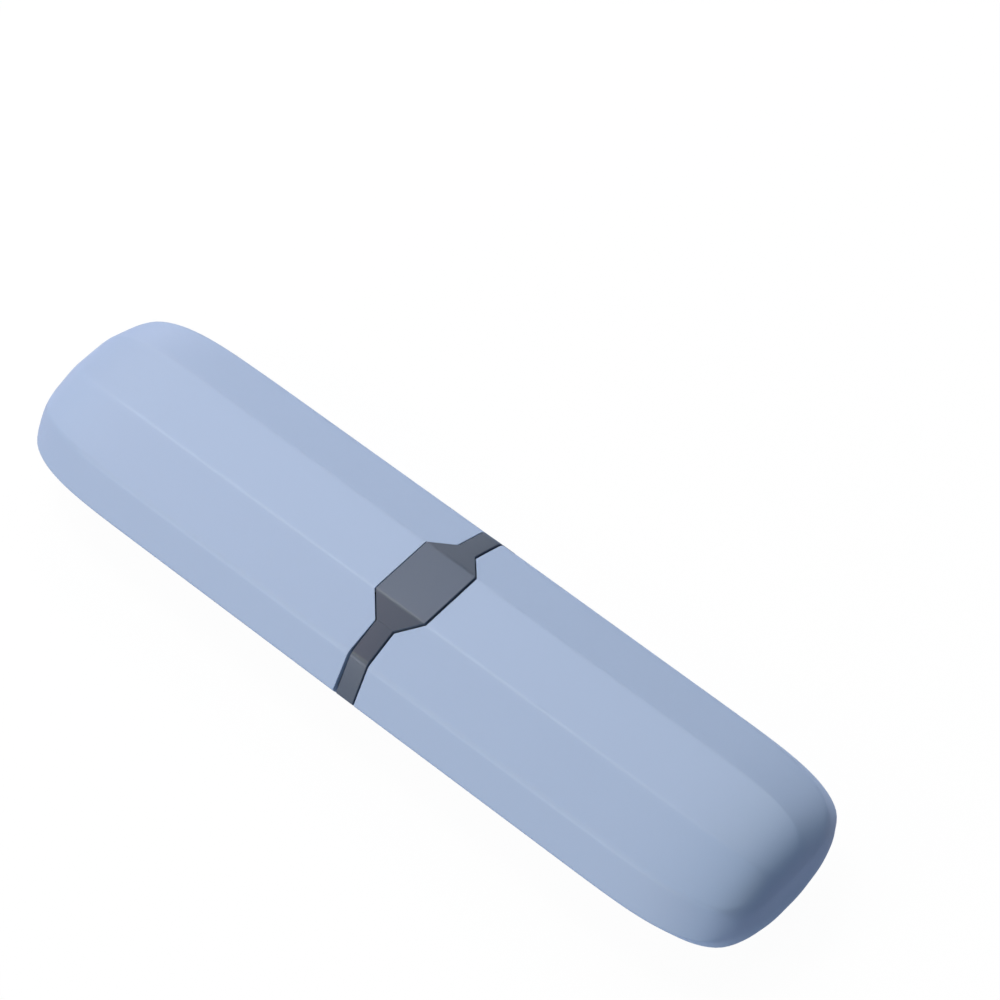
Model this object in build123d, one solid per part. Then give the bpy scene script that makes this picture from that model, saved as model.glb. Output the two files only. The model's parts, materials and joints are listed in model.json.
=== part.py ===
from build123d import *
import math
import os

os.makedirs("parts", exist_ok=True)

# A slim two-piece travel case for toothbrushes, lying on its flat bottom side.
# X runs along the case: the base half lies towards +X and the lid half towards -X.
# Y runs across it, with the front towards -Y, and +Z is up.
# The model is built with x = 0 in the middle of the dark centre band and is moved along X
# as it is written, so that the origin ends up under the middle of the whole case.

# Outer body
case_length = 215.0
case_width = 55.6
case_height = 31.2
band_offset = 0.5
end_length = 45.0
end_power = 4.2
side_draft = 0.006
crease_radius = 3.0
side_crease_radius = 0.8
side_count = 10
rest_cut = 0.05

# Half shells
shell_wall = 1.8
end_wall = 2.2

# Centre band and its hexagonal widening, which is the release button
arm_half_width = 2.5
hexagon_half_length = 7.4
hexagon_taper = 0.375
band_gap = 0.3
band_proud = 0.3
neck_spare = 0.02
edge_radius = 0.2

# Collar sleeves
plug_clearance = 0.1
spigot_clearance = 0.2
sleeve_wall = 1.6
plug_length = 11.5
spigot_length = 14.0
spigot_chamfer = 0.6

# Seal ring
seal_setback = 3.5
seal_width = 1.6
seal_depth = 0.9
seal_proud = 0.1
seal_side_gap = 0.05

# Release button
button_wall = 1.6
button_travel = 1.5
well_spare = 0.3
well_floor = 1.5
well_wall = 1.5
stem_spacing = 11.8
stem_radius = 1.5
stem_clearance = 0.1
washer_radius = 2.0
washer_wall = 0.5
washer_gap = 0.1
button_screw_radius = 0.7
button_screw_length = 3.2
button_head_radius = 1.5
button_head_height = 1.0
screw_clearance = 0.05
recess_radius_share = 0.5
recess_depth_share = 0.45

# Button springs
spring_spacing = 22.4
spring_radius = 1.15
spring_wire = 0.3
spring_turns = 4.0
spring_height = 3.4
spring_seat_gap = 0.05
pad_radius = 1.4
pad_drop = 2.3
pocket_radius = 1.7
pocket_wall = 1.0

# Latch finger
finger_width = 6.0
finger_wall = 0.9
finger_gap = 0.2
hook_length = 3.2
hook_height = 1.3
hook_play = 0.3
hook_ramp = 0.9
hook_side_gap = 0.6
strike_setback = 2.0
window_length = 4.6
pusher_gap = 0.2
pusher_length = 3.0
pusher_width = 5.0
finger_root_width = 10.0
finger_root_length = 8.0
finger_screw_spacing = 4.0
finger_screw_length = 2.9

# Small self-tapping screws of the latch finger and of the latch cover
tap_screw_radius = 0.65
tap_head_radius = 1.4
tap_head_height = 0.8
bore_end_gap = 0.2

# Latch cover
cover_wall = 1.6
cover_top_gap = 0.2
cover_margin = 1.7
cover_post_radius = 2.0
cover_post_inset = 2.2
cover_post_spacing_y = 17.0
cover_screw_length = 2.8
cover_bore_spare = 0.15
cover_corner_radius = 1.5

# Lid rim, the inner ring that carries the latch finger
rim_clearance = 0.15
rim_wall = 1.5
rim_length = 12.5
rim_setback = 2.0
rim_block_margin = 0.5

# Racks that keep two brushes apart
rack_clearance = 0.2
rack_wall = 2.0
rack_web = 1.6
lane_width = 17.0
lane_height = 14.5
lane_web = 1.3
lane_lift = 6.0
lane_corner_radius = 5.0
base_rack_gap = 0.6
base_rack_length = 66.0
lid_rack_gap = 0.5
lid_rack_length = 54.0
web_hole_radius = 4.5
web_hole_pitch = 14.0
web_hole_margin = 9.0

# Soft linings
grip_wall = 1.2
grip_lip = 0.8
grip_lip_wall = 0.6
grip_clearance = 0.05
end_pad_wall = 2.0
end_pad_clearance = 0.1

both_sides = (-1, 1)
half_width = case_width / 2
half_height = case_height / 2
base_reach = case_length / 2 - band_offset
lid_reach = case_length / 2 + band_offset
shell_start = arm_half_width + band_gap
spigot_inset = shell_wall + spigot_clearance
spigot_end = arm_half_width + spigot_length
plug_end = arm_half_width + plug_length

# Sizes across the facets, at the middle of the case
turn = 360 / side_count
first_corner = 90 - turn / 2
top_edge_y = half_width * math.cos(math.radians(first_corner))
slope_edge_y = half_width * math.cos(math.radians(first_corner - turn))
slope_drop = half_height - half_height * math.sin(math.radians(first_corner - turn)) / math.sin(
    math.radians(first_corner)
)
slope_angle = math.atan2(slope_drop, slope_edge_y - top_edge_y)
neck_y = top_edge_y + hexagon_taper * (slope_edge_y - top_edge_y)

# The button ends just short of where its narrowing sides would meet the arms
taper_angle = math.atan2(hexagon_half_length - arm_half_width, neck_y - top_edge_y)
button_neck_y = neck_y - band_gap * math.tan(taper_angle / 2) - neck_spare

# Levels of the latch, from the top down
cap_under_inset = button_wall - band_proud
cap_under = case_height - cap_under_inset
floor_drop = button_travel + well_spare
floor_top = cap_under - floor_drop
floor_under = floor_top - well_floor
finger_top = floor_under - finger_gap
finger_under = finger_top - finger_wall
hook_top = finger_top + hook_height
pusher_under = hook_top + pusher_gap
pad_under = cap_under - pad_drop
spring_top = pad_under - spring_seat_gap
pocket_bottom = spring_top - spring_height - spring_seat_gap
boss_under = pocket_bottom - pocket_wall
cover_top = boss_under - cover_top_gap
cover_seat = cover_top - cover_wall / 2
washer_top = floor_under - washer_gap
washer_under = washer_top - washer_wall

block_half_length = hexagon_half_length + band_gap + well_wall
block_half_width = neck_y + well_wall
rim_start = spigot_end + rim_setback
rim_end = rim_start + rim_length
finger_root_end = rim_end - rim_block_margin
finger_root_start = finger_root_end - finger_root_length
hook_back = -strike_setback + hook_play
finger_tip = hook_back + hook_length


def facet_section(inset=0.0, creased=False):
    # The ten-sided outline, stretched across, with every side moved in by the inset
    corners = []
    for k in range(side_count):
        angle = math.radians(first_corner + turn * k)
        height = half_height * math.sin(angle) / math.sin(math.radians(first_corner))
        corners.append((half_width * math.cos(angle), height))
    outline = Polygon(*corners, align=None)
    if inset:
        outline = offset(outline, amount=-inset, kind=Kind.INTERSECTION)
    if creased:
        outline = fillet(outline.vertices().sort_by(Axis.X)[1:-1], crease_radius)
        points = outline.vertices().sort_by(Axis.X)
        outline = fillet([points[0], points[-1]], side_crease_radius)
    return outline


def cross_plane(x, height=half_height):
    return Plane(origin=(x, 0, height), x_dir=(0, 1, 0), z_dir=(1, 0, 0))


def straight_body(inset, start, end, creased=False):
    # A plain length of the outline, used close to the middle of the case
    return extrude(cross_plane(start) * facet_section(inset, creased), amount=end - start)


def proud_body(start, end):
    # The outline set up a little: it stands proud on top and stays flush along the sides
    return Pos(0, 0, band_proud) * straight_body(0, start, end, creased=True)


def station(section, x, fullness):
    # One outline of the tapering half; the bottom side stays level along the straight part
    shrink = 1 - side_draft * x / (case_length / 2)
    return cross_plane(x, half_height * shrink) * scale(section, by=shrink * fullness)


def half_body(reach, start, inset=0.0, end_inset=0.0, creased=False):
    # Half of the case as a solid: a straight part, then an end that rounds over to a small flat
    end_steps = 12
    end_sweep = 86.0
    section = facet_section(inset, creased)
    shoulder = reach - end_length
    straight = loft([station(section, start, 1), station(section, shoulder, 1)], ruled=True)
    rounded = []
    for step in range(end_steps + 1):
        angle = math.radians(end_sweep * step / end_steps)
        along = (math.sin(angle) / math.sin(math.radians(end_sweep))) ** (2 / end_power)
        across = math.cos(angle) ** (2 / end_power)
        rounded.append(station(section, shoulder + (end_length - end_inset) * along, across))
    return straight + loft(rounded)


def cavity(reach, inset_spare=0.0):
    return half_body(reach, 0, shell_wall + inset_spare, end_wall + inset_spare)


def towards_lid(shape):
    return mirror(shape, about=Plane.YZ)


def slab(low, high, half_y, bottom, top):
    # A box from low to high along X, centred across, between two heights
    size_z = top - bottom
    return Pos((low + high) / 2, 0, bottom + size_z / 2) * Box(high - low, 2 * half_y, size_z)


def cylinder_up(x, y, bottom, top, radius):
    return Pos(x, y, bottom) * Cylinder(
        radius, top - bottom, align=(Align.CENTER, Align.CENTER, Align.MIN)
    )


def band_plan(clearance):
    # The band seen from above: straight arms that widen to a hexagon over the top side
    reach = hexagon_half_length + band_gap
    neck = arm_half_width + band_gap
    far = half_width + end_wall
    quarter = [(reach, top_edge_y), (neck, neck_y), (neck, far)]
    right = [(x, -y) for x, y in reversed(quarter)] + quarter
    left = [(-x, -y) for x, y in right]
    plan = Polygon(*right, *left, align=None)
    return offset(plan, amount=-clearance, kind=Kind.INTERSECTION) if clearance else plan


def band_column(clearance, half_y):
    # The band's plan as an upright column, cut off at a distance across
    column = extrude(Pos(0, 0, half_height) * band_plan(clearance), amount=case_height)
    return column & slab(-case_height, case_height, half_y, 0, 2 * case_height)


def lowered(inset, drop):
    reach = 2 * block_half_length
    return Pos(0, 0, -drop) * straight_body(inset, -reach, reach)


def shell(reach):
    # The outside is set down a little and cut level, so that the case lies on a true flat
    outer = Pos(0, 0, -rest_cut) * half_body(reach, shell_start, creased=True)
    outer &= slab(0, reach, case_width, 0, case_height)
    return outer - cavity(reach) - band_column(0, neck_y)


def seal_sector(inset, start, end):
    return towards_lid(straight_body(inset, start, end))


def centre_collar():
    bore = straight_body(spigot_inset + sleeve_wall, -case_length, case_length)
    spigot = towards_lid(straight_body(spigot_inset, 0, spigot_end))
    spigot = chamfer(spigot.faces().sort_by(Axis.X)[0].edges(), spigot_chamfer)
    plug = straight_body(shell_wall + plug_clearance, 0, plug_end)
    band = proud_body(-arm_half_width, arm_half_width)
    band = fillet(band.faces().filter_by(Axis.X).edges(), edge_radius)
    seal_end = spigot_end - seal_setback
    seal_start = seal_end - seal_width
    groove = seal_sector(spigot_inset - spigot_clearance, seal_start, seal_end)
    groove -= seal_sector(spigot_inset + seal_depth, seal_start, seal_end)
    block = slab(-block_half_length, block_half_length, block_half_width, 0, case_height)
    block &= straight_body(spigot_inset, -block_half_length, block_half_length)
    block -= lowered(cap_under_inset, floor_drop + well_floor)
    well = band_column(0, neck_y) - lowered(cap_under_inset, floor_drop)
    window = slab(-strike_setback, window_length - strike_setback, finger_width / 2 + hook_side_gap,
                  floor_under - well_floor, cap_under)
    body = band + spigot + plug - bore + block - groove
    for side in both_sides:
        spring_y = side * spring_spacing / 2
        body += cylinder_up(0, spring_y, boss_under, floor_under, pocket_radius + pocket_wall)
        well += cylinder_up(0, spring_y, pocket_bottom, cap_under, pocket_radius)
        well += cylinder_up(0, side * stem_spacing / 2, floor_under - well_floor, cap_under,
                            stem_radius + stem_clearance)
    for x, y in cover_posts():
        body += cylinder_up(x, y, cover_top, floor_under, cover_post_radius)
        well += cylinder_up(x, y, cover_top, cover_seat + cover_screw_length + bore_end_gap,
                            tap_screw_radius + screw_clearance)
    return body - well - window


def cover_posts():
    x = block_half_length - cover_post_inset
    y = cover_post_spacing_y / 2
    return [(-x, -y), (-x, y), (x, -y), (x, y)]


def seal_ring():
    seal_end = spigot_end - seal_setback - seal_side_gap
    seal_start = spigot_end - seal_setback - seal_width + seal_side_gap
    ring = seal_sector(spigot_inset - seal_proud, seal_start, seal_end)
    return ring - seal_sector(spigot_inset + seal_depth - seal_side_gap, seal_start, seal_end)


def top_outline(cap):
    # The upper edges of the hexagon's own walls, without the necks, where the arms carry on
    walls = [face for face in cap.faces() if abs(face.normal_at().X) > 0.1]
    edges = [edge for wall in walls for edge in wall.edges().filter_by(Axis.Z, reverse=True)]
    return [edge for edge in edges if edge.center().Z > half_height + slope_drop]


def release_button():
    column = band_column(band_gap, button_neck_y)
    reach = hexagon_half_length
    cap = column & proud_body(-reach, reach)
    cap = fillet(top_outline(cap), edge_radius)
    cap -= straight_body(cap_under_inset, -reach, reach)
    for side in both_sides:
        stem_y = side * stem_spacing / 2
        cap += cylinder_up(0, stem_y, washer_top, cap_under, stem_radius)
        cap -= cylinder_up(0, stem_y, washer_top, washer_under + button_screw_length,
                           button_screw_radius + screw_clearance)
        pad = cylinder_up(0, side * spring_spacing / 2, pad_under, case_height, pad_radius)
        cap += pad & straight_body(0, -reach, reach)
    pusher_back = finger_tip - pusher_length
    return cap + slab(pusher_back, finger_tip, pusher_width / 2, pusher_under, cap_under)


def button_screw(y):
    head = cylinder_up(0, y, washer_under - button_head_height, washer_under, button_head_radius)
    shank = cylinder_up(0, y, washer_under, washer_under + button_screw_length - washer_gap,
                        button_screw_radius)
    recess = cylinder_up(0, y, washer_under - button_head_height,
                         washer_under - button_head_height * (1 - recess_depth_share),
                         button_head_radius * recess_radius_share)
    return head + shank - recess


def button_washer(y):
    disc = cylinder_up(0, y, washer_under, washer_top, washer_radius)
    return disc - cylinder_up(0, y, washer_under, washer_top, button_screw_radius + screw_clearance)


def tap_screw(x, y, seat, length):
    # A screw driven upwards, its head under the seat
    head = cylinder_up(x, y, seat - tap_head_height, seat, tap_head_radius)
    shank = cylinder_up(x, y, seat, seat + length, tap_screw_radius)
    recess = cylinder_up(x, y, seat - tap_head_height,
                         seat - tap_head_height * (1 - recess_depth_share),
                         tap_head_radius * recess_radius_share)
    return head + shank - recess


def button_spring(side):
    height = spring_height - spring_wire
    coil = Helix(pitch=height / spring_turns, height=height, radius=spring_radius)
    profile = Plane(coil @ 0, z_dir=coil % 0) * Circle(spring_wire / 2)
    base_z = pocket_bottom + spring_seat_gap + spring_wire / 2
    return Pos(0, side * spring_spacing / 2, base_z) * sweep(profile, path=coil)


def latch_cover():
    half_x = block_half_length
    half_y = cover_post_spacing_y / 2 + cover_post_radius + cover_margin
    plate = slab(-half_x, half_x, half_y, cover_top - cover_wall, cover_top)
    plate = fillet(plate.edges().filter_by(Axis.Z), cover_corner_radius)
    under = cover_top - cover_wall
    for x, y in cover_posts():
        plate -= cylinder_up(x, y, cover_seat, cover_top, tap_screw_radius + cover_bore_spare)
        plate -= cylinder_up(x, y, under, cover_seat, tap_head_radius + cover_bore_spare)
    return plate


def finger_screw_places():
    middle = -(finger_root_start + finger_root_end) / 2
    return [middle - finger_screw_spacing / 2, middle + finger_screw_spacing / 2]


def latch_finger():
    leaf = slab(-finger_root_end, finger_tip, finger_width / 2, finger_under, finger_top)
    root = slab(-finger_root_end, -finger_root_start, finger_root_width / 2, finger_under, finger_top)
    hook = slab(hook_back, finger_tip, finger_width / 2, finger_under, hook_top)
    ramp_edge = hook.edges().filter_by(Axis.Y).sort_by(Axis.Z)[-2:].sort_by(Axis.X)[-1]
    finger = leaf + root + chamfer(ramp_edge, hook_ramp)
    for x in finger_screw_places():
        finger -= cylinder_up(x, 0, finger_under, finger_top, tap_screw_radius + cover_bore_spare)
    return finger


def lid_rim():
    outer = shell_wall + rim_clearance
    ring = towards_lid(straight_body(outer, rim_start, rim_end))
    ring -= towards_lid(straight_body(outer + rim_wall, rim_start, rim_end))
    root_half = finger_root_width / 2 + rim_block_margin
    block = slab(-rim_end, rim_block_margin - finger_root_start, root_half, finger_top,
                 case_height - outer - rim_wall / 2)
    rim = ring + block
    for x in finger_screw_places():
        rim -= cylinder_up(x, 0, finger_top, finger_under + finger_screw_length + bore_end_gap,
                           tap_screw_radius + screw_clearance)
    return rim


def lane_section(side, shrink=0.0):
    lane_y = lane_web + lane_width / 2
    lane_z = lane_lift + lane_height / 2 - half_height
    return Pos(side * lane_y, lane_z) * RectangleRounded(
        lane_width - 2 * shrink, lane_height - 2 * shrink, lane_corner_radius - shrink
    )


def lane_prism(side, start, end, shrink=0.0):
    return extrude(cross_plane(start) * lane_section(side, shrink), amount=end - start)


def rack(reach, start, length):
    # Two cross walls with a lane for each brush, joined by a web along the middle
    end = start + length
    frame = slab(start, start + rack_wall, case_width, 0, case_height)
    frame += slab(end - rack_wall, end, case_width, 0, case_height)
    frame += slab(start, end, rack_web / 2, 0, case_height)
    body = frame & cavity(reach, rack_clearance)
    for side in both_sides:
        body -= lane_prism(side, start, end)
    hole_span = length - 2 * web_hole_margin - 2 * web_hole_radius
    hole_count = int(hole_span // web_hole_pitch) + 1
    first_hole = start + length / 2 - web_hole_pitch * (hole_count - 1) / 2
    for k in range(hole_count):
        hole = Pos(first_hole + web_hole_pitch * k, 0, half_height) * Rot(90, 0, 0)
        body -= hole * Cylinder(web_hole_radius, 2 * rack_web)
    return body


def handle_grip(side):
    # A soft lining in the first cross wall of the base rack, with a lip behind the wall
    start = plug_end + base_rack_gap
    wall_end = start + rack_wall
    lip = lane_prism(side, wall_end + grip_clearance, wall_end + grip_lip_wall, -grip_lip)
    lining = lane_prism(side, start, wall_end + grip_lip_wall, grip_clearance)
    web_space = slab(start, wall_end + 2 * grip_lip_wall, rack_web / 2 + grip_clearance, 0, case_height)
    return lining + lip - lane_prism(side, start, wall_end + 2 * grip_lip_wall, grip_wall) - web_space


def end_pad(reach):
    pad_start = reach - end_wall - end_pad_wall
    slice_box = slab(pad_start, reach, case_width, 0, case_height)
    return slice_box & cavity(reach, end_pad_clearance)


def group(shapes):
    return Compound(children=shapes)


nodes = {
    "base_shell": shell(base_reach),
    "lid_shell": towards_lid(shell(lid_reach)),
    "centre_collar": centre_collar(),
    "seal_ring": seal_ring(),
    "latch_cover": latch_cover(),
    "latch_cover_screws": group(
        [tap_screw(x, y, cover_seat, cover_screw_length) for x, y in cover_posts()]
    ),
    "handle_rack": rack(base_reach, plug_end + base_rack_gap, base_rack_length),
    "handle_grip_front": handle_grip(-1),
    "handle_grip_rear": handle_grip(1),
    "base_end_pad": end_pad(base_reach),
    "button_spring_front": button_spring(-1),
    "button_spring_rear": button_spring(1),
    "release_button": release_button(),
    "button_washers": group([button_washer(side * stem_spacing / 2) for side in both_sides]),
    "button_screws": group([button_screw(side * stem_spacing / 2) for side in both_sides]),
    "lid_rim": lid_rim(),
    "latch_finger": latch_finger(),
    "latch_finger_screws": group(
        [tap_screw(x, 0, finger_under, finger_screw_length) for x in finger_screw_places()]
    ),
    "head_rack": towards_lid(rack(lid_reach, rim_end + lid_rack_gap, lid_rack_length)),
    "lid_end_pad": towards_lid(end_pad(lid_reach)),
}

for name, shape in nodes.items():
    export_step(Pos(band_offset, 0, 0) * shape, f"parts/{name}.step")
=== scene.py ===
import json
import math

import bmesh
import bpy
from mathutils import Matrix, Vector


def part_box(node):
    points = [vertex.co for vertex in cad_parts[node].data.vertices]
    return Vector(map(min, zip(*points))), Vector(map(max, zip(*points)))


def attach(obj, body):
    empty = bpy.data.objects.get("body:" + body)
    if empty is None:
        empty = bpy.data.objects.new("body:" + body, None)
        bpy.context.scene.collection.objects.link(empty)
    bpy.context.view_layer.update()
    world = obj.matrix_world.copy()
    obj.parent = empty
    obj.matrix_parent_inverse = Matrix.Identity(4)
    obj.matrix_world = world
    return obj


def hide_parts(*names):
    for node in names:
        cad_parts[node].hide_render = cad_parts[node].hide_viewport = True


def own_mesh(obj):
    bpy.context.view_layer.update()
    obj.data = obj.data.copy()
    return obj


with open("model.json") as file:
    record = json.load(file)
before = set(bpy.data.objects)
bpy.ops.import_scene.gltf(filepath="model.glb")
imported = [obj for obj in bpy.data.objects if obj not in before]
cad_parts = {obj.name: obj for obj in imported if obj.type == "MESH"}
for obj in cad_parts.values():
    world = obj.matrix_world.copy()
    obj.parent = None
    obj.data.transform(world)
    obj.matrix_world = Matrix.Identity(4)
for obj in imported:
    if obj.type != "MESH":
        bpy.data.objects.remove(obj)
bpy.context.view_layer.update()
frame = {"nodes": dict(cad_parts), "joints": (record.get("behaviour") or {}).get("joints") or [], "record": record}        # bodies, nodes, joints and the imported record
mm = 0.001
nodes = frame["nodes"]
record = frame["record"]
slotOf = {part["node"]: part["material_slot"] for part in record["subparts"]}
bodyOf = {node: body for body, members in record["behaviour"]["bodies"].items() for node in members}
jointNamed = {joint["name"]: joint for joint in frame["joints"]}


class Wire:
    # One output of a node. Arithmetic on wires adds Math or Vector Math nodes to their tree.
    def __init__(self, tree, socket=None):
        self.tree = tree
        self.socket = socket

    def make(self, kind, settings=None, sockets=None, out=0):
        # Adds a node with its settings and with the values or wires of its sockets
        node = self.tree.nodes.new(kind)
        for name, value in (settings or {}).items():
            setattr(node, name, value)
        for name, value in (sockets or {}).items():
            if isinstance(value, Wire):
                self.tree.links.new(value.socket, node.inputs[name])
            else:
                node.inputs[name].default_value = value
        return Wire(self.tree, node.outputs[out] if len(node.outputs) else None)

    def out(self, name):
        return Wire(self.tree, self.socket.node.outputs[name])

    def isVector(self):
        return self.socket.type == "VECTOR"

    def apply(self, operation, *others):
        values = dict(enumerate((self, *others)))
        if self.isVector():
            return self.make("ShaderNodeVectorMath", {"operation": operation}, values)
        return self.make("ShaderNodeMath", {"operation": operation}, values)

    def length(self):
        return self.make("ShaderNodeVectorMath", {"operation": "LENGTH"}, {0: self}, "Value")

    def axes(self):
        return self.make("ShaderNodeSeparateXYZ", None, {0: self})

    def atLeastZero(self):
        return self.apply("MAXIMUM", 0.0)

    def clamp(self):
        return self.atLeastZero().apply("MINIMUM", 1.0)

    def __add__(self, other):
        return self.apply("ADD", other)

    def __sub__(self, other):
        return self.apply("SUBTRACT", other)

    def __mul__(self, other):
        if self.isVector():
            return self.make("ShaderNodeVectorMath", {"operation": "SCALE"}, {0: self, "Scale": other})
        return self.apply("MULTIPLY", other)

    def __truediv__(self, other):
        return self.apply("DIVIDE", other)

    def __pow__(self, other):
        return self.apply("POWER", other)

    __radd__ = __add__
    __rmul__ = __mul__

    def __rsub__(self, other):
        return self.make("ShaderNodeMath", {"operation": "SUBTRACT"}, {0: other, 1: self})

    def __rtruediv__(self, other):
        return self.make("ShaderNodeMath", {"operation": "DIVIDE"}, {0: other, 1: self})


# Camera, as the photograph was taken

cameraView = {
    "azimuth": 41.541,          # degrees round the case, from the front
    "elevation": 53.571,
    "distance": 1.0351,
    "aim": (0, 0, 0.016),
    "offset": (0.017024, 0.027376),   # to the right and up, so that the case sits as in the frame
    "lens": 164.08,             # in millimetres, as the sensor's width
    "sensor": 36.0,
    "farthest": 20.0,           # as far as it sees
}


def placeCamera(view):
    turn = math.radians(view["azimuth"])
    lift = math.radians(view["elevation"])
    right = Vector((math.cos(turn), math.sin(turn), 0))
    back = Vector((math.sin(turn) * math.cos(lift), -math.cos(turn) * math.cos(lift), math.sin(lift)))
    up = back.cross(right)
    camera = bpy.data.objects.new("camera", bpy.data.cameras.new("camera"))
    bpy.context.collection.objects.link(camera)
    camera.data.sensor_width = view["sensor"]
    camera.data.lens = view["lens"]
    place = Vector(view["aim"]) + back * view["distance"]
    place += right * view["offset"][0] + up * view["offset"][1]
    camera.matrix_world = Matrix.Translation(place) @ Matrix((right, up, back)).transposed().to_4x4()
    camera.data.clip_end = view["farthest"]
    bpy.context.scene.camera = camera


placeCamera(cameraView)
print("camera placed")


# Materials. Every pattern lies on Object coordinates, in metres.

def newMaterial(name):
    material = bpy.data.materials.new(name)
    material.use_nodes = True
    shader = material.node_tree.nodes["Principled BSDF"]
    return material, shader, Wire(material.node_tree)


def objectPlace(wire):
    return wire.make("ShaderNodeTexCoord", out="Object")


def noise(wire, place, size, detail=3.0, rough=0.5):
    # Noise about 0.5, with features about as large as the size, in metres
    sockets = {"Vector": place, "Scale": 1 / size, "Detail": detail, "Roughness": rough}
    return wire.make("ShaderNodeTexNoise", None, sockets)


def mixColours(wire, factor, first, second, way="MIX"):
    # A Mix node's sockets 6 and 7 and its output 2 are the ones for colours
    settings = {"data_type": "RGBA", "blend_type": way}
    return wire.make("ShaderNodeMix", settings, {0: factor, 6: first, 7: second}, 2)


def shade(wire, factor, dark, light):
    # A colour between two, for a factor from 0 to 1
    return mixColours(wire, factor, (*dark, 1), (*light, 1))


def bump(wire, height, strength, distance):
    sockets = {"Height": height, "Strength": strength, "Distance": distance}
    return wire.make("ShaderNodeBump", None, sockets)


def link(wire, source, shader, name):
    wire.tree.links.new(source.socket, shader.inputs[name])


def plainColour(values):
    # A colour given as it looks on a screen, 0 to 255, as the linear values that a shader takes
    levels = [value / 255 for value in values]
    return tuple(v / 12.92 if v <= 0.04045 else ((v + 0.055) / 1.055) ** 2.4 for v in levels)


def tinted(colour, gain):
    return tuple(min(1.0, level * gain) for level in colour)


mouldTexture = {       # what all the moulded plastics share
    "cloudShare": 0.7,          # of the colour's mottling; the grain makes the rest
    "grainRough": 0.6,
    "speckSize": 2.7,           # times the grain's
    "speckHeight": 0.5,         # times the grain's
    "bumpDepth": 0.25,          # times the grain's size
    "sheenRough": 0.5,
}


def paintTopHighlight(wire, place, tone, paintedTopHighlight):
    # Painted highlight: the button's top face is made lighter than its wings, standing in for the sheen
    # that the lamps put on it
    halfWidth, lowest, gain, softEdge = paintedTopHighlight
    axes = place.axes()
    topHighlightMask = ((halfWidth - axes.out("Y").apply("ABSOLUTE")) / softEdge).clamp()
    topHighlightMask = topHighlightMask * axes.out("Z").apply("GREATER_THAN", lowest)
    return mixColours(wire, topHighlightMask, tone, (gain, gain, gain, 1), "MULTIPLY")


def mouldedPlastic(name, look):
    # Spark-eroded moulded plastic: a fine even grain, faint clouding of the colour and of the gloss
    texture = mouldTexture
    material, shader, wire = newMaterial(name)
    place = objectPlace(wire)
    cloud = noise(wire, place, look["cloud"], detail=2.0)
    grain = noise(wire, place, look["grain"], detail=2.0, rough=texture["grainRough"])
    speck = noise(wire, place, look["grain"] * texture["speckSize"], detail=1.0)
    colour = plainColour(look["colour"])
    mottling = (cloud * texture["cloudShare"] + grain * (1 - texture["cloudShare"])).clamp()
    tone = shade(wire, mottling, tinted(colour, 1 - look["shift"]), tinted(colour, 1 + look["shift"]))
    # Painted highlight on the button's top face, where the look asks for one
    if look.get("paintedTopHighlight"):
        tone = paintTopHighlight(wire, place, tone, look["paintedTopHighlight"])
    link(wire, tone, shader, "Base Color")
    shift = look["roughShift"]
    link(wire, look["rough"] + (cloud - 0.5) * shift + (grain - 0.5) * shift, shader, "Roughness")
    height = grain + speck * texture["speckHeight"]
    depth = look["grain"] * texture["bumpDepth"]
    link(wire, bump(wire, height, look["bump"], depth), shader, "Normal")
    shader.inputs["Specular IOR Level"].default_value = look["specular"]
    if look.get("sheen"):
        shader.inputs["Sheen Weight"].default_value = look["sheen"]
        shader.inputs["Sheen Roughness"].default_value = texture["sheenRough"]
    if look.get("through"):
        shader.inputs["Subsurface Weight"].default_value = look["through"]
        shader.inputs["Subsurface Radius"].default_value = (1.0, 1.0, 1.0)   # the same for each colour
        shader.inputs["Subsurface Scale"].default_value = look["throughDepth"]
    return material


steelTexture = {       # what both steels share
    "tarnish": (0.82, 1.08),    # times the colour, at its dullest and at its brightest
    "markRough": 0.6,
    "markShift": 0.16,          # how far the fine marks and the tarnish change the roughness
    "tarnishShift": 0.12,
    "bump": 0.25,
    "bumpDepth": 0.2,           # times the marks' size
}


def drawnSteel(name, look):
    # Bright steel with fine marks all over and faint tarnish
    texture = steelTexture
    material, shader, wire = newMaterial(name)
    place = objectPlace(wire)
    marks = noise(wire, place, look["marks"], detail=2.0, rough=texture["markRough"])
    tarnish = noise(wire, place, look["cloud"])
    dull, bright = (tinted(plainColour(look["colour"]), gain) for gain in texture["tarnish"])
    link(wire, shade(wire, tarnish, dull, bright), shader, "Base Color")
    marked = look["rough"] + (marks - 0.5) * texture["markShift"]
    link(wire, marked + (tarnish - 0.5) * texture["tarnishShift"], shader, "Roughness")
    depth = look["marks"] * texture["bumpDepth"]
    link(wire, bump(wire, marks, texture["bump"], depth), shader, "Normal")
    shader.inputs["Metallic"].default_value = 1.0
    return material


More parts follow.
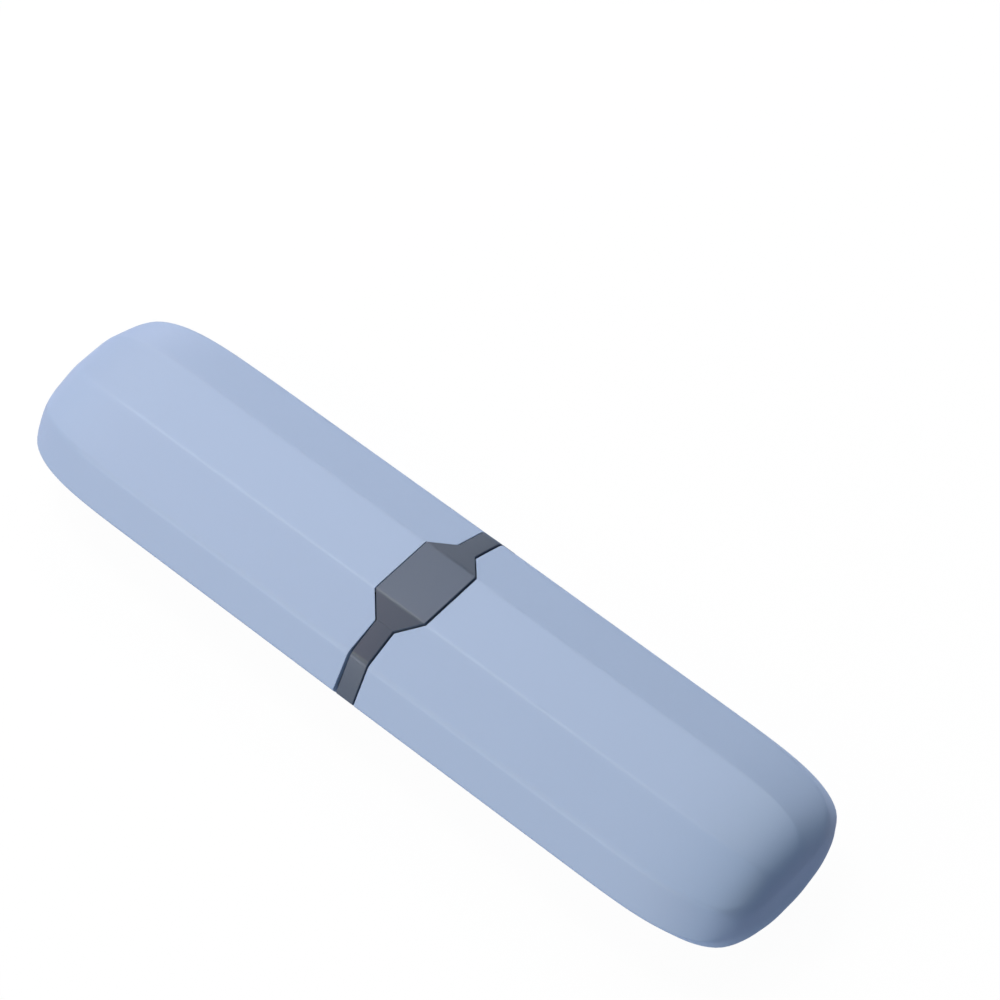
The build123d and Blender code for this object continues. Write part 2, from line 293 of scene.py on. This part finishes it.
# Colours as on a screen, 0 to 255, and how far they shift; the cloud, grain and marks are pattern sizes
plastics = {
    "shell_blue": {"colour": (170, 189, 217), "shift": 0.012, "cloud": 22 * mm, "grain": 0.16 * mm,
                   "rough": 0.42, "roughShift": 0.08, "bump": 0.12, "specular": 0.4},
    "band_grey": {"colour": (76, 86, 101), "shift": 0.02, "cloud": 9 * mm, "grain": 0.13 * mm,
                  "rough": 0.38, "roughShift": 0.08, "bump": 0.14, "specular": 0.45,
                  # (half width, lowest height, gain, soft edge) of the painted highlight on the button's
                  # top face
                  "paintedTopHighlight": (8.9 * mm, 25 * mm, 1.19, 0.5 * mm)},
    "inner_grey": {"colour": (122, 129, 141), "shift": 0.02, "cloud": 11 * mm, "grain": 0.18 * mm,
                   "rough": 0.5, "roughShift": 0.08, "bump": 0.12, "specular": 0.4},
    "rack_white": {"colour": (226, 231, 238), "shift": 0.012, "cloud": 14 * mm, "grain": 0.2 * mm,
                   "rough": 0.45, "roughShift": 0.08, "bump": 0.1, "specular": 0.4},
    "latch_polymer": {"colour": (232, 230, 222), "shift": 0.01, "cloud": 5 * mm, "grain": 0.1 * mm,
                      "rough": 0.3, "roughShift": 0.06, "bump": 0.06, "specular": 0.5,
                      "through": 0.25, "throughDepth": 0.6 * mm},
    "soft_grey": {"colour": (139, 146, 158), "shift": 0.025, "cloud": 4 * mm, "grain": 0.25 * mm,
                  "rough": 0.66, "roughShift": 0.1, "bump": 0.1, "specular": 0.3, "sheen": 0.15},
}
steels = {
    "spring_steel": {"colour": (196, 197, 198), "rough": 0.28, "marks": 0.05 * mm, "cloud": 0.8 * mm},
    "screw_steel": {"colour": (204, 204, 206), "rough": 0.24, "marks": 0.06 * mm, "cloud": 1.1 * mm},
}
finishes = {name: mouldedPlastic(name, look) for name, look in plastics.items()}
finishes.update({name: drawnSteel(name, look) for name, look in steels.items()})
print("materials made")


# Shapes that follow a rule are grown by Geometry Nodes and kept as plain meshes

def newTree(name, inputs):
    # The names of the tree's inputs come under their kinds, such as Float
    tree = bpy.data.node_groups.new(name, "GeometryNodeTree")
    tree.interface.new_socket("Geometry", in_out="OUTPUT", socket_type="NodeSocketGeometry")
    for kind, labels in inputs.items():
        for label in labels:
            tree.interface.new_socket(label, in_out="INPUT", socket_type="NodeSocket" + kind)
    wire = Wire(tree)
    group = wire.make("NodeGroupInput")
    return tree, wire, {label: group.out(label) for labels in inputs.values() for label in labels}


def vectorFrom(wire, x, y, z):
    return wire.make("ShaderNodeCombineXYZ", None, {0: x, 1: y, 2: z})


def pointGrid(wire, columns, rows):
    # A sheet to wrap into a shape, and the column and the row of each of its points
    grid = wire.make("GeometryNodeMeshGrid", None, {
        "Size X": 1.0, "Size Y": 1.0, "Vertices X": columns + 1, "Vertices Y": rows + 1})
    cell = wire.make("GeometryNodeInputPosition").axes()
    column = ((cell.out("X") + 0.5) * columns).apply("ROUND")
    row = ((cell.out("Y") + 0.5) * rows).apply("ROUND")
    return grid, column, row


def wrapGrid(wire, grid, place, weld):
    # Moves the sheet's points to their places and closes its seams
    wrapped = wire.make("GeometryNodeSetPosition", None, {"Geometry": grid, "Position": place})
    return wire.make("GeometryNodeMergeByDistance", None, {"Geometry": wrapped, "Distance": weld})


def squarishArc(sweep, power):
    # The rise and the fall of a quarter turn, squarer than a circle's by the power
    rise = sweep.apply("SINE").atLeastZero()
    fall = sweep.apply("COSINE").atLeastZero()
    norm = (rise ** power + fall ** power) ** (1 / power)
    return rise / norm, fall / norm


def endTree(wire, geometry, material):
    solid = wire.make("GeometryNodeRealizeInstances", None, {0: geometry})
    painted = wire.make("GeometryNodeSetMaterial", None, {"Geometry": solid, "Material": material})
    wire.make("NodeGroupOutput", None, {0: painted})


def smoothFaces(mesh, sharpAngle):
    mesh.polygons.foreach_set("use_smooth", [True] * len(mesh.polygons))
    mesh.set_sharp_from_angle(angle=math.radians(sharpAngle))


def growPiece(name, tree, values, sharpAngle):
    holder = bpy.data.objects.new(name, bpy.data.meshes.new(name))
    bpy.context.collection.objects.link(holder)
    modifier = holder.modifiers.new("grow", "NODES")
    modifier.node_group = tree
    for item in tree.interface.items_tree:
        if item.in_out == "INPUT":
            modifier[item.identifier] = values[item.name]
    evaluated = holder.evaluated_get(bpy.context.evaluated_depsgraph_get())
    mesh = bpy.data.meshes.new_from_object(evaluated)
    holder.modifiers.remove(modifier)
    empty = holder.data
    holder.data = mesh
    bpy.data.meshes.remove(empty)
    mesh.name = name
    if mesh.materials[0] is None:        # an empty slot can come before the tree's own
        mesh.materials.pop(index=0)
    smoothFaces(mesh, sharpAngle)
    return holder


def adopt(piece, node):
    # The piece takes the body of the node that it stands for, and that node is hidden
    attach(piece, bodyOf[node])
    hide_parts(node)
    return piece


# The two half shells: ten stretched facets, creases that soften towards a full round end

shellLook = {
    "width": 55.6 * mm,           # over the facet corners
    "height": 31.2 * mm,
    "endLength": 45 * mm,         # the length that rounds over
    "endPower": 4.2,              # how square the end is, 2 being an ellipse
    "draft": 0.006,               # how much smaller the section gets by the end
    "crease": 3.0 * mm,           # the creases' radius
    "sideCrease": 0.9 * mm,       # and that of the two at mid-height
    "endCrease": 24 * mm,         # and that of all of them at the end
    "creaseReach": 5.0 * mm,      # the most that a crease takes from a facet
    "creaseFade": (46, 18),       # where round the end the creases fade, (from, over) in degrees
    "endLine": (4.8 * mm, 0.15),  # (height over mid-height, slope above) of the line across each end
    "endLineFade": (45, 30),      # where round the end that line comes in
    "restCut": 0.05 * mm,         # how far the outside sinks before its underside is cut level
    "wall": (0.9388, 0.8878),     # the inner section as a share of the outer one, across and up
    "endWall": 2.2 * mm,
    # (how much further from the band its front gets, how round its edge is)
    "rims": {"base_shell": (0.0, 0.3 * mm), "lid_shell": (0.6 * mm, 0.1 * mm)},
    "hexagonReach": 7.7 * mm,     # the cut-out round the button, measured from the band's middle
    "neckPlace": 13.803 * mm,     # how far to each side that cut-out ends
    "facets": 10,
    "sideCorner": 3,              # the corner at mid-height, counted from 0 at the top's rear one
    "columns": 36,                # across one facet
    "crowding": 0.5236,           # gathers the columns at the creases and puts one at the neck
    "outerRows": 62,
    "innerRows": 40,
    "straightShare": 0.29,        # of the rows
    "rimCrowding": 3,             # the power that gathers those rows at the rim
    "weld": 0.0005 * mm,          # points nearer than this become one
    "margin": 0.0001,             # for rounding, where a column or an angle meets a limit
    "sharpAngle": 60,             # degrees, above which a bend keeps its edge
}


def easeIn(share):
    # From 0 to 1 with a level start and end
    return share * share * (3 - 2 * share)


def facetPoint(wire, given, look, column, softness):
    # How far aside and above mid-height a section's point is: flat facets between softened creases
    facets = look["facets"]
    turn = 2 * math.pi / facets
    firstCorner = (math.pi - turn) / 2
    halfWidth = given["Width"] / 2
    halfHeight = given["Height"] / 2
    facet = (column / look["columns"] + look["margin"]).apply("FLOOR")
    step = column / look["columns"] - facet
    share = step - (step * (2 * math.pi)).apply("SINE") * (look["crowding"] / (2 * math.pi))

    def corner(number):
        angle = number * turn + firstCorner
        height = angle.apply("SINE") * halfHeight / math.sin(firstCorner)
        return vectorFrom(wire, 0.0, angle.apply("COSINE") * halfWidth, height)

    def soften(before, after, distance, number):
        # The two creases along the sides are crisper, and all of them fade out at the end
        atSide = number.apply("MODULO", facets / 2).apply("COMPARE", look["sideCorner"], look["margin"])
        radius = given["Crease"] + (given["Side Crease"] - given["Crease"]) * atSide
        radius = radius + (given["End Crease"] - radius) * softness
        bend = after - before
        reach = radius * bend.length() / (before + after).length()
        reach = reach.apply("MINIMUM", look["creaseReach"])
        pull = (reach - distance).atLeastZero()
        return bend * (pull * pull / (reach * 4))

    corners = [corner(facet + k) for k in (-1, 0, 1, 2)]
    sides = [corners[k + 1] - corners[k] for k in range(3)]
    edges = [side.make("ShaderNodeVectorMath", {"operation": "NORMALIZE"}, {0: side}) for side in sides]
    facetWidth = sides[1].length()
    point = corners[1] + sides[1] * share
    point = point + soften(edges[0], edges[1], share * facetWidth, facet)
    point = point + soften(edges[1], edges[2], (1 - share) * facetWidth, facet + 1)
    axes = point.axes()
    return axes.out("Y"), axes.out("Z")


def shellTree(look):
    tree, wire, given = newTree("halfShell", {
        "Float": ("Side", "Band Place", "Reach", "Rim Start", "Rim Lean", "Rim Round", "Width", "Height",
                  "End Length", "End Power", "Draft", "Crease", "Side Crease", "End Crease"),
        "Material": ("Material",)})
    inner = look["innerRows"]
    grid, column, row = pointGrid(wire, look["facets"] * look["columns"], inner + 1 + look["outerRows"])

    # Rows run from the inner end over the rim to the outer end
    isOuter = row.apply("GREATER_THAN", inner + 0.5)
    isInner = 1 - isOuter
    outerWay = (row - (inner + 1)) / look["outerRows"]
    innerWay = (inner - row) / inner
    way = outerWay * isOuter + innerWay * isInner
    straight = (way / look["straightShare"]).clamp() ** look["rimCrowding"]
    sweep = ((way - look["straightShare"]) / (1 - look["straightShare"])).clamp() * (math.pi / 2)
    along, fullness = squarishArc(sweep, given["End Power"])
    fullness = fullness * sweep.apply("LESS_THAN", math.pi / 2 - look["margin"])

    def overSweep(start, span):
        # From 0 to 1 over some degrees of the way round the end
        return ((sweep - math.radians(start)) / math.radians(span)).clamp()

    softness = easeIn(overSweep(*look["creaseFade"]))
    aside, above = facetPoint(wire, given, look, column, softness)

    # The rim runs straight beside the band's arms and is cut out round the hexagon over the top side
    halfWidth = given["Width"] / 2
    halfHeight = given["Height"] / 2
    topEdge = halfWidth * math.sin(math.pi / look["facets"])
    wallAcross, wallUp = look["wall"]
    neck = look["neckPlace"]
    across = isOuter + isInner * wallAcross
    taper = ((aside.apply("ABSOLUTE") * across - topEdge) / (neck - topEdge)).clamp()
    upper = above.apply("GREATER_THAN", 0.0)
    rim = given["Rim Start"] + (look["hexagonReach"] - given["Rim Start"]) * (1 - taper) * upper
    frontShare = ((0 - aside - neck) / (halfWidth - neck)).clamp()
    rim = rim + given["Rim Lean"] * frontShare

    # From the rim to the shoulder, then round the end with a faint line across it
    run = (given["Reach"] - given["End Length"] - rim) * straight
    endLength = given["End Length"] - isInner * look["endWall"]
    lineHeight, lineSlope = look["endLine"]
    overLine = (above * fullness - lineHeight).atLeastZero() * overSweep(*look["endLineFade"])
    x = rim + run + endLength * along - overLine * lineSlope
    shrink = 1 - x * given["Draft"] / given["Reach"]

    # The rim's outer edge is rounded, and the underside is level
    rimRound = given["Rim Round"]
    within = (rimRound - run).atLeastZero() * isOuter
    roundIn = (rimRound - (rimRound * rimRound - within * within).atLeastZero().apply("SQRT")) * isOuter
    y = aside * shrink * fullness * (across - roundIn / halfWidth)
    upward = isOuter + isInner * wallUp - roundIn / halfHeight
    z = halfHeight * shrink + above * shrink * fullness * upward
    z = (z - isOuter * look["restCut"]).atLeastZero()
    place = vectorFrom(wire, x * given["Side"] + given["Band Place"], y, z)
    shell = wrapGrid(wire, grid, place, look["weld"])
    mirrored = wire.make("FunctionNodeCompare", {"data_type": "FLOAT", "operation": "LESS_THAN"},
                         {0: given["Side"], 1: 0.0})
    shell = wire.make("GeometryNodeFlipFaces", None, {"Mesh": shell, "Selection": mirrored})
    endTree(wire, shell, given["Material"])
    return tree


def makeShells(look):
    tree = shellTree(look)
    baseLow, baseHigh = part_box("base_shell")
    lidLow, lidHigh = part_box("lid_shell")
    bandPlace = (baseLow.x + lidHigh.x) / 2
    halves = (("baseShellSkin", "base_shell", 1.0, baseHigh.x - bandPlace),
              ("lidShellSkin", "lid_shell", -1.0, bandPlace - lidLow.x))
    for name, node, side, reach in halves:
        lean, edgeRound = look["rims"][node]
        shell = growPiece(name, tree, {
            "Side": side, "Band Place": bandPlace, "Reach": reach, "Rim Start": baseLow.x - bandPlace,
            "Rim Lean": lean, "Rim Round": edgeRound, "Width": look["width"], "Height": look["height"],
            "End Length": look["endLength"], "End Power": look["endPower"], "Draft": look["draft"],
            "Crease": look["crease"], "Side Crease": look["sideCrease"], "End Crease": look["endCrease"],
            "Material": finishes[slotOf[node]]}, look["sharpAngle"])
        adopt(shell, node)


makeShells(shellLook)
print("half shells grown")


# Moulded pieces keep their engineered shape and get finished edges

edgeLook = {      # the radius on the edges of each, in millimetres
    "lid_rim": 0.2, "latch_cover": 0.3, "handle_rack": 0.35, "head_rack": 0.35,
    "handle_grip_front": 0.2, "handle_grip_rear": 0.2, "seal_ring": 0.4,
    "base_end_pad": 0.3, "lid_end_pad": 0.3, "latch_finger": 0.15,
    "centre_collar": 0, "release_button": 0, "button_washers": 0.08,
}
mouldingLook = {
    "weld": 0.0005 * mm,          # points nearer than this become one
    "flatAngle": 0.5,             # degrees, below which two faces become one
    "sharpAngle": 32,             # degrees, above which an edge stays sharp or gets rounded
    "roundSteps": 2,
}


def mergedCopy(node, look):
    mesh = bpy.data.meshes.new(node)
    work = bmesh.new()
    work.from_mesh(nodes[node].data)
    bmesh.ops.remove_doubles(work, verts=work.verts, dist=look["weld"])
    flat = math.radians(look["flatAngle"])
    bmesh.ops.dissolve_limit(work, angle_limit=flat, verts=work.verts, edges=work.edges)
    work.to_mesh(mesh)
    work.free()
    if "custom_normal" in mesh.attributes:      # the node's own normals don't fit the merged faces
        mesh.attributes.remove(mesh.attributes["custom_normal"])
    smoothFaces(mesh, look["sharpAngle"])
    return mesh


def dressNode(node, edge, look):
    mesh = mergedCopy(node, look)
    piece = bpy.data.objects.new(node + "Dressed", mesh)
    bpy.context.collection.objects.link(piece)
    mesh.materials.clear()
    mesh.materials.append(finishes[slotOf[node]])
    if edge:
        rounding = piece.modifiers.new("edges", "BEVEL")
        rounding.width = edge * mm
        rounding.segments = look["roundSteps"]
        rounding.limit_method = "ANGLE"
        rounding.angle_limit = math.radians(look["sharpAngle"])
        rounding.harden_normals = True
    return adopt(piece, node)


dressed = {node: dressNode(node, edge, mouldingLook) for node, edge in edgeLook.items()}


# The band's arms

armLook = {
    "halfLength": 2.6 * mm,       # along the case, from the band's middle
    "width": shellLook["width"],  # of the ellipse through the facet corners
    "height": 32.8 * mm,
    "middle": 15.9 * mm,          # the height of its centre
    "skinShare": 0.94,            # of that ellipse, beyond which a point is on the outside
    "upperFrom": 1 * mm,          # height over the centre at which the upper sides start
    "slim": 0.994,                # sets the upper sides in, flush with those of the shells
    "drop": 0.27 * mm,            # lets the sides below them down, flush too
    "neckLevel": 24 * mm,         # the necks beside the button lie above this
    "neckGap": 0.02 * mm,         # the hairline that is left there
    "neckReach": 0.14 * mm,       # how far from there the arms' ends may be
}


def fitArms(piece, button, look):
    # The band's arms lie flush along the sides and end a hairline from the button
    buttonLow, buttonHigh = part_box(button)
    bandPlace = (buttonLow.x + buttonHigh.x) / 2
    neck = buttonHigh.y + look["neckGap"]
    for point in piece.data.vertices:
        if abs(point.co.x - bandPlace) > look["halfLength"]:
            continue
        across = point.co.y / look["width"]
        up = (point.co.z - look["middle"]) / look["height"]
        if 2 * math.hypot(across, up) > look["skinShare"]:
            if point.co.z > look["middle"] + look["upperFrom"]:
                point.co.y *= look["slim"]
            else:
                point.co.z -= look["drop"]
        atNeck = point.co.z > look["neckLevel"] and abs(abs(point.co.y) - neck) < look["neckReach"]
        if atNeck:
            point.co.y = math.copysign(neck, point.co.y)


fitArms(dressed["centre_collar"], "release_button", armLook)
print("moulded pieces dressed")


# Coil springs under the button

springLook = {
    "turns": 4.6,
    "endTurns": 0.5,              # the flat part at each end
    "coilRadius": 1.15 * mm,
    "wire": 0.3 * mm,
    "points": 40,                 # along one turn
    "wireSides": 12,
    "sharpAngle": 60,
}


def springTree(look):
    tree, wire, given = newTree("coilSpring", {
        "Float": ("Turns", "Coil Radius", "Wire Radius", "Height"),
        "Vector": ("Place",),
        "Material": ("Material",)})
    coil = wire.make("GeometryNodeCurveSpiral", None, {
        "Resolution": look["points"], "Rotations": given["Turns"], "Height": 0.0,
        "Start Radius": given["Coil Radius"], "End Radius": given["Coil Radius"]})
    factor = wire.make("GeometryNodeSplineParameter", out="Factor")
    closed = look["endTurns"] / given["Turns"]
    climb = ((factor - closed) / (1 - 2 * closed)).clamp()
    move = vectorFrom(wire, 0.0, 0.0, climb * given["Height"]) + given["Place"]
    coil = wire.make("GeometryNodeSetPosition", None, {"Geometry": coil, "Offset": move})
    ring = wire.make("GeometryNodeCurvePrimitiveCircle", None, {
        "Resolution": look["wireSides"], "Radius": given["Wire Radius"]})
    tube = wire.make("GeometryNodeCurveToMesh", None, {
        "Curve": coil, "Profile Curve": ring, "Fill Caps": True})
    endTree(wire, tube, given["Material"])
    return tree


def makeSprings(look):
    tree = springTree(look)
    press = jointNamed["button_press"]
    travel = press["range_m"][1]
    for name, node in (("springFront", "button_spring_front"), ("springRear", "button_spring_rear")):
        low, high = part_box(node)
        middle = (low + high) / 2
        wireRadius = look["wire"] / 2
        spring = growPiece(name, tree, {
            "Turns": look["turns"], "Coil Radius": look["coilRadius"], "Wire Radius": wireRadius,
            "Height": high.z - low.z - look["wire"],
            "Place": Vector((middle.x, middle.y, low.z + wireRadius)),
            "Material": finishes[slotOf[node]]}, look["sharpAngle"])
        adopt(spring, node)
        1 - travel / (high.z - low.z)
        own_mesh(spring)


makeSprings(springLook)
print("springs wound")


# Screws: a pan head with a cross recess, grown once for each group

screwLook = {
    "sides": 28,
    "headRows": 8,
    "headPower": 3.4,             # how square the head's dome is
    "slotWidth": 0.22,            # of the recess, as a share of the head's radius
    "slotReach": 0.62,
    "slotDepth": 0.45,            # as a share of the head's height
    "weld": 0.001 * mm,           # points nearer than this become one
    "sharpAngle": 40,
    # node: (screws along X, screws along Y, head radius, head height, shank radius) in mm
    "groups": {
        "latch_cover_screws": (2, 2, 1.4, 0.8, 0.65),
        "latch_finger_screws": (2, 1, 1.4, 0.8, 0.65),
        "button_screws": (1, 2, 1.5, 1.0, 0.7),
    },
}


def screwTree(look):
    tree, wire, given = newTree("crossScrews", {
        "Int": ("Count X", "Count Y"),
        "Float": ("Size X", "Size Y", "Head Radius", "Head Height", "Shank Radius", "Length"),
        "Vector": ("Place",),
        "Material": ("Material",)})
    rows = look["headRows"]
    grid, column, row = pointGrid(wire, look["sides"], rows + 3)

    # The head's dome runs from its pole to its edge, then come the seat, the shank and the tip
    angle = column * (2 * math.pi / look["sides"])
    outward, fall = squarishArc((row / rows).clamp() * (math.pi / 2), look["headPower"])
    onShank = row.apply("GREATER_THAN", rows + 0.5)
    atTip = row.apply("GREATER_THAN", rows + 1.5)
    closed = row.apply("GREATER_THAN", rows + 2.5)
    radius = given["Head Radius"] * outward * (1 - onShank) + given["Shank Radius"] * onShank
    radius = radius * (1 - closed) * row.apply("GREATER_THAN", 0.5)
    height = given["Head Height"] * (1 - fall) + given["Length"] * atTip
    place = vectorFrom(wire, radius * angle.apply("COSINE"), radius * angle.apply("SINE"), height)
    screw = wrapGrid(wire, grid, place, look["weld"])

    # Two crossing bars cut the recess
    deep = given["Head Height"] * look["slotDepth"]
    long = given["Head Radius"] * (2 * look["slotReach"])
    wide = given["Head Radius"] * (2 * look["slotWidth"])
    cutter = wire.make("GeometryNodeMeshBoolean", {"operation": "UNION", "solver": "EXACT"})
    for sizeX, sizeY in ((long, wide), (wide, long)):
        size = vectorFrom(wire, sizeX, sizeY, deep * 2)
        bar = wire.make("GeometryNodeMeshCube", None, {"Size": size})
        wire.tree.links.new(bar.socket, cutter.socket.node.inputs[1])
    cut = wire.make("GeometryNodeMeshBoolean", {"operation": "DIFFERENCE", "solver": "EXACT"},
                    {0: screw, 1: cutter})
    spots = wire.make("GeometryNodeMeshGrid", None, {
        "Size X": given["Size X"], "Size Y": given["Size Y"],
        "Vertices X": given["Count X"], "Vertices Y": given["Count Y"]})
    spots = wire.make("GeometryNodeSetPosition", None, {"Geometry": spots, "Offset": given["Place"]})
    screws = wire.make("GeometryNodeInstanceOnPoints", None, {"Points": spots, "Instance": cut})
    endTree(wire, screws, given["Material"])
    return tree


def makeScrews(look):
    tree = screwTree(look)
    for node, (countX, countY, headRadius, headHeight, shankRadius) in look["groups"].items():
        low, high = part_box(node)
        middle = (low + high) / 2
        headWidth = 2 * headRadius * mm
        screws = growPiece(node + "Turned", tree, {
            "Count X": countX, "Count Y": countY, "Size X": high.x - low.x - headWidth,
            "Size Y": high.y - low.y - headWidth, "Place": Vector((middle.x, middle.y, low.z)),
            "Head Radius": headRadius * mm, "Head Height": headHeight * mm,
            "Shank Radius": shankRadius * mm, "Length": high.z - low.z - headHeight * mm,
            "Material": finishes[slotOf[node]]}, look["sharpAngle"])
        adopt(screws, node)


makeScrews(screwLook)
print("screws grown")


# The latch finger, which bends down under the button's pusher, gets its bevel applied and a mesh of its
# own


def keepModifiers(piece):
    # Applies the modifiers, for a piece whose own points move at a pose
    evaluated = piece.evaluated_get(bpy.context.evaluated_depsgraph_get())
    mesh = bpy.data.meshes.new_from_object(evaluated)
    piece.modifiers.clear()
    piece.data = mesh


def letFingerBend(piece):
    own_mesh(piece)


keepModifiers(dressed["latch_finger"])
letFingerBend(dressed["latch_finger"])
print("latch finger freed")


# Floor, backdrop and light

stageLook = {
    "floorSize": 8.0,
    "floorDrop": 0.03 * mm,       # keeps the floor off the case's flat underside
    "floorTint": (0.315, 0.283, 0.337),     # the floor as the case sees it, lighting it from below
    "glossTint": (0.297, 0.414, 0.575),     # what the case's gloss adds to that
    "whiteLevel": 1.01,           # the floor as the camera sees it
    "whiteShare": 0.96,           # how much of that takes no shadow
    "shadowGrey": 0.9,            # the colour of the rest
    "airTint": (0.0, 0.016, 0.041),         # light from all round
    # name: (degrees from the case's +X end towards its rear, elevation, distance, size, watts as RGB)
    "lamps": {
        "leftRear": (135, 31, 1.6, 0.45, (3.66, 3.03, 2.81)),
        "leftRearLow": (135, 10, 1.6, 0.45, (1.59, 1.63, 1.87)),
        "leftRearHigh": (135, 66, 1.6, 0.45, (2.39, 2.14, 2.88)),
        "leftHigh": (167, 66, 1.6, 0.45, (5.48, 5.66, 4.56)),
        "leftNear": (180, 50, 0.7, 0.4, (0.95, 0.89, 1.02)),
        "leftFront": (225, 50, 1.6, 0.45, (0.94, 0.1, 0.05)),
        "crease": (240, 38, 1.6, 0.3, (3.64, 3.63, 2.68)),
        "frontLeftLow": (242, 10, 1.6, 0.45, (4.71, 4.74, 5.57)),
        "frontMiddleLow": (256, 10, 1.6, 0.45, (3.44, 3.82, 3.67)),
        "frontLow": (270, 10, 1.6, 0.45, (1.52, 0.84, 0)),
        "frontRightLow": (300, 10, 1.6, 0.45, (3.2, 4.26, 5.4)),
        "rear": (90, 50, 1.6, 0.45, (4.62, 5.1, 4.83)),
        "rearLow": (114, 14, 1.6, 0.45, (0.99, 1.02, 1.05)),
        "topMirror": (132, 54, 1.6, 0.45, (0.84, 1.24, 1.84)),
    },
}


def inPicture(path):
    # 1 on rays that show in the picture, straight or through a clear piece
    return (path.out("Is Camera Ray") + path.out("Is Transmission Ray")).clamp()


def diffuse(wire, colour):
    return wire.make("ShaderNodeBsdfDiffuse", None, {"Color": (*colour, 1)})


def glow(wire, kind, colour, strength=1.0):
    return wire.make(kind, None, {"Color": (*colour, 1), "Strength": strength})


def mixShaders(wire, factor, first, second):
    return wire.make("ShaderNodeMixShader", None, {0: factor, 1: first, 2: second})


def floorMaterial(look):
    material = bpy.data.materials.new("paleFloor")
    material.use_nodes = True
    material.node_tree.nodes.clear()
    wire = Wire(material.node_tree)
    path = wire.make("ShaderNodeLightPath")
    lit = diffuse(wire, look["floorTint"])
    glossed = wire.make("ShaderNodeAddShader", None, {
        0: lit, 1: glow(wire, "ShaderNodeEmission", look["glossTint"])})
    unseen = mixShaders(wire, path.out("Is Glossy Ray"), lit, glossed)
    shadowed = diffuse(wire, [look["shadowGrey"]] * 3)
    white = glow(wire, "ShaderNodeEmission", (1, 1, 1), look["whiteLevel"])
    shown = mixShaders(wire, look["whiteShare"], shadowed, white)
    mixed = mixShaders(wire, inPicture(path), unseen, shown)
    wire.make("ShaderNodeOutputMaterial", None, {"Surface": mixed})
    return material


def makeFloor(look):
    half = look["floorSize"] / 2
    corners = [(-half, -half, 0), (half, -half, 0), (half, half, 0), (-half, half, 0)]
    mesh = bpy.data.meshes.new("floor")
    mesh.from_pydata(corners, [], [(0, 1, 2, 3)])
    mesh.materials.append(floorMaterial(look))
    floor = bpy.data.objects.new("floor", mesh)
    floor.location.z = -look["floorDrop"]
    bpy.context.collection.objects.link(floor)


def makeWorld(look):
    world = bpy.data.worlds.new("studio")
    bpy.context.scene.world = world
    world.use_nodes = True
    world.node_tree.nodes.clear()
    wire = Wire(world.node_tree)
    path = wire.make("ShaderNodeLightPath")
    air = glow(wire, "ShaderNodeBackground", look["airTint"])
    white = glow(wire, "ShaderNodeBackground", (1, 1, 1))
    wire.make("ShaderNodeOutputWorld", None, {"Surface": mixShaders(wire, inPicture(path), air, white)})


def makeLamps(look):
    for name, (azimuth, elevation, distance, size, watts) in look["lamps"].items():
        lamp = bpy.data.objects.new(name, bpy.data.lights.new(name, "AREA"))
        bpy.context.collection.objects.link(lamp)
        lamp.data.energy = max(watts)
        lamp.data.color = [watt / max(watts) for watt in watts]
        lamp.data.shape = "DISK"
        lamp.data.size = size
        turn = math.radians(azimuth)
        lift = math.radians(elevation)
        flat = math.cos(lift)
        towards = Vector((math.cos(turn) * flat, math.sin(turn) * flat, math.sin(lift)))
        lamp.location = towards * distance
        lamp.rotation_euler = towards.to_track_quat("Z", "Y").to_euler()


makeFloor(stageLook)
makeWorld(stageLook)
makeLamps(stageLook)
bpy.context.scene.view_settings.view_transform = "Standard"
print("stage lit")
